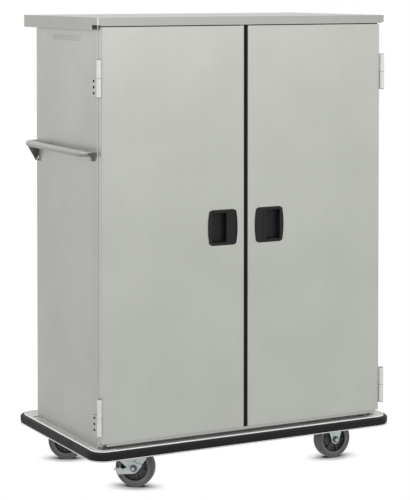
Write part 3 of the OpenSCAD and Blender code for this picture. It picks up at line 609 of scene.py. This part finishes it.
LEVER = [(-9, 7), (-5, 21), (-3, 26.5), (2, 28.5), (6.5, 26.5), (8.6, 21.5), (13.5, 17.5), (19, 21),
         (23, 22.5), (34.5, 10.5), (9, -18), (-4.5, -21), (-66, -27), (-73, -5), (-54, 4), (-45, -6), (-24, 4)]
PEDAL = [(-54, 4), (-74, -3), (-74, -6), (-54, 1)]


def lever(name, body, at):
    """Brake lever: a lobed plate on the leg with its pedal folded outward."""
    piece = Shape()
    turned = at @ Matrix.Rotation(math.pi, 4, "Z")
    flipped = [(-x, z) for x, z in reversed(rounded_outline(LEVER, 2.5))]
    # the lever's rim gets the painted shade, a dark outline against the fork
    piece.prism(flipped, LEVER_IN, LEVER_FACE, turned, 1.4, 0, 1)
    pedal = [(-x, z) for x, z in reversed(rounded_outline(PEDAL, 1.0))]
    # the pedal's rounded edges get the painted highlight
    piece.prism(pedal, PEDAL_IN, PEDAL_OUT, turned, 0.8, 0, 2)
    piece.done(name + "_lobed", body, ["zinc", "shade_zinc", "highlight_zinc"], [name])


for row in ("front", "rear"):
    roll, rigid = joint_frame(row + "_wheel_roll"), joint_frame(row + "_rigid_roll")
    wheel((row + "_wheel_core", row + "_wheel_tread"), row + "_swivel_wheel", roll, 17)
    wheel((row + "_rigid_core", row + "_rigid_tread"), row + "_rigid_wheel", rigid, 8)
    # the brake turns about the same axle, but its own axis points the other way
    lever(row + "_brake", row + "_brake_lever", roll)
    bolt = Shape()
    axle_set(bolt, roll, LEVER_OUT, LEG_OUT)
    bolt.done(row + "_axle_bolt", row + "_swivel", ["bolt", "nut", "bolt"], [row + "_axle"])
bolts = Shape()
for row in ("front", "rear"):
    axle_set(bolts, joint_frame(row + "_rigid_roll"), LEG_OUT, LEG_OUT)
bolts.done("rigid_axle_bolts", "cart", ["bolt", "nut", "bolt"], ["rigid_axles"])

screws = Shape()
for side in (-1, 1):
    for height in HINGE_Z:
        for i in range(3):
            seat = Vector((CENTRE_X + side * SCREW_X, SCREW_Y, height - SCREW_FIRST - SCREW_PITCH * i))
            at = Matrix.Translation(seat * MM) @ Matrix.Rotation(-side * math.pi / 2, 4, "Z")
            # most of each head gets the painted shade
            screws.lathe(SCREW_HEAD, at, 24, look=lambda r, y: int(r < SCREW_SHADE_R))
screws.done("hinge_screw_heads", "cart", ["bolt", "socket"], ["hinge_screws"])

# ------------------------------------------------------------------ stage


def make_floor():
    """White glowing floor with a painted contact shadow: it goes dark only close to what stands on it."""
    mesh = bpy.data.meshes.new("floor")
    half = FLOOR_SIZE / 2
    corners = [(-half, -half, 0), (half, -half, 0), (half, half, 0), (-half, half, 0)]
    mesh.from_pydata(corners, [], [(0, 1, 2, 3)])
    obj = bpy.data.objects.new("floor", mesh)
    scene.collection.objects.link(obj)
    n = Nodes("floor_paint")
    # painted shadow: occlusion darkens the floor's glow near the wheels
    close = n.put("ShaderNodeAmbientOcclusion", Distance=SHADOW_REACH)
    close.samples = 32
    shade = n.put("ShaderNodeValToRGB", Fac=close.outputs["AO"])
    ramp = shade.color_ramp
    ramp.elements[0].position, ramp.elements[1].position = 0.25, 0.93
    ramp.elements[0].color, ramp.elements[1].color = (0.02, 0.02, 0.02, 1), (1, 1, 1, 1)
    middle = ramp.elements.new(0.68)
    middle.color = (0.5, 0.5, 0.5, 1)
    glow = n.put("ShaderNodeEmission", Color=shade.outputs["Color"])
    n.tree.links.new(glow.outputs[0], n.tree.nodes["Material Output"].inputs["Surface"])
    paint(obj, n.mat)
    obj.visible_glossy = obj.visible_diffuse = obj.visible_shadow = False


def make_world():
    """A white room over a grey floor, as the steel sees it."""
    world = bpy.data.worlds.new("studio")
    scene.world = world
    world.use_nodes = True
    tree = world.node_tree
    place = tree.nodes.new("ShaderNodeTexCoord")
    split = tree.nodes.new("ShaderNodeSeparateXYZ")
    ramp = tree.nodes.new("ShaderNodeValToRGB")
    up = tree.nodes.new("ShaderNodeMapRange")
    up.inputs["From Min"].default_value = -1
    tree.links.new(place.outputs["Generated"], split.inputs[0])
    tree.links.new(split.outputs["Z"], up.inputs["Value"])
    tree.links.new(up.outputs["Result"], ramp.inputs["Fac"])
    tree.links.new(ramp.outputs["Color"], tree.nodes["Background"].inputs["Color"])
    shades = ramp.color_ramp.elements
    for index, (height, light) in enumerate(ROOM):
        shade = shades[index] if index < 2 else shades.new(height)
        shade.position = height
        shade.color = (light, light, light, 1)
    tree.nodes["Background"].inputs["Strength"].default_value = 1.0


def soft_light(name, place, aim, size, power):
    data = bpy.data.lights.new(name, "AREA")
    data.shape = "RECTANGLE"
    data.size, data.size_y = size
    data.energy = power
    obj = bpy.data.objects.new(name, data)
    obj.location = place
    obj.rotation_euler = (Vector(aim) - Vector(place)).to_track_quat("-Z", "Y").to_euler()
    scene.collection.objects.link(obj)


def make_camera():
    """A camera on a leaning tripod head.

    The photograph's uprights are parallel though the lens stands above the cart's middle, as with a
    shifted lens. The lean does the same as that shift, and a camera off the head hasn't got it.
    """
    lean = (CAM_CENTRE_V - IMAGE_H / 2) / CAM_FOCAL
    data = bpy.data.cameras.new("camera")
    data.sensor_fit = "VERTICAL"
    data.sensor_height = SENSOR
    data.lens = CAM_FOCAL * math.hypot(1, lean) * SENSOR / IMAGE_H
    data.clip_end = 2000
    head = bpy.data.objects.new("tripod_head", None)
    obj = bpy.data.objects.new("camera", data)
    scene.collection.objects.link(head)
    scene.collection.objects.link(obj)
    turn = Euler((math.radians(90 - CAM_DOWN), 0, math.radians(-CAM_HEADING))).to_matrix()
    sheared = turn @ Matrix(((1, 0, 0), (0, 1, -lean), (0, 0, 1)))
    obj.parent = head
    obj.matrix_parent_inverse = Matrix.Translation(CAM_PLACE) @ sheared.to_4x4()
    scene.camera = obj


make_floor()
make_world()
make_camera()
soft_light("front_panel", (1.2, -5.5, 3.0), (1.2, 0, 3.0), (4, 3), 14)
soft_light("key", (-3.5, -4.0, 4.2), (0, 0, 1.0), (3, 3), 16)
scene.view_settings.view_transform = "Standard"
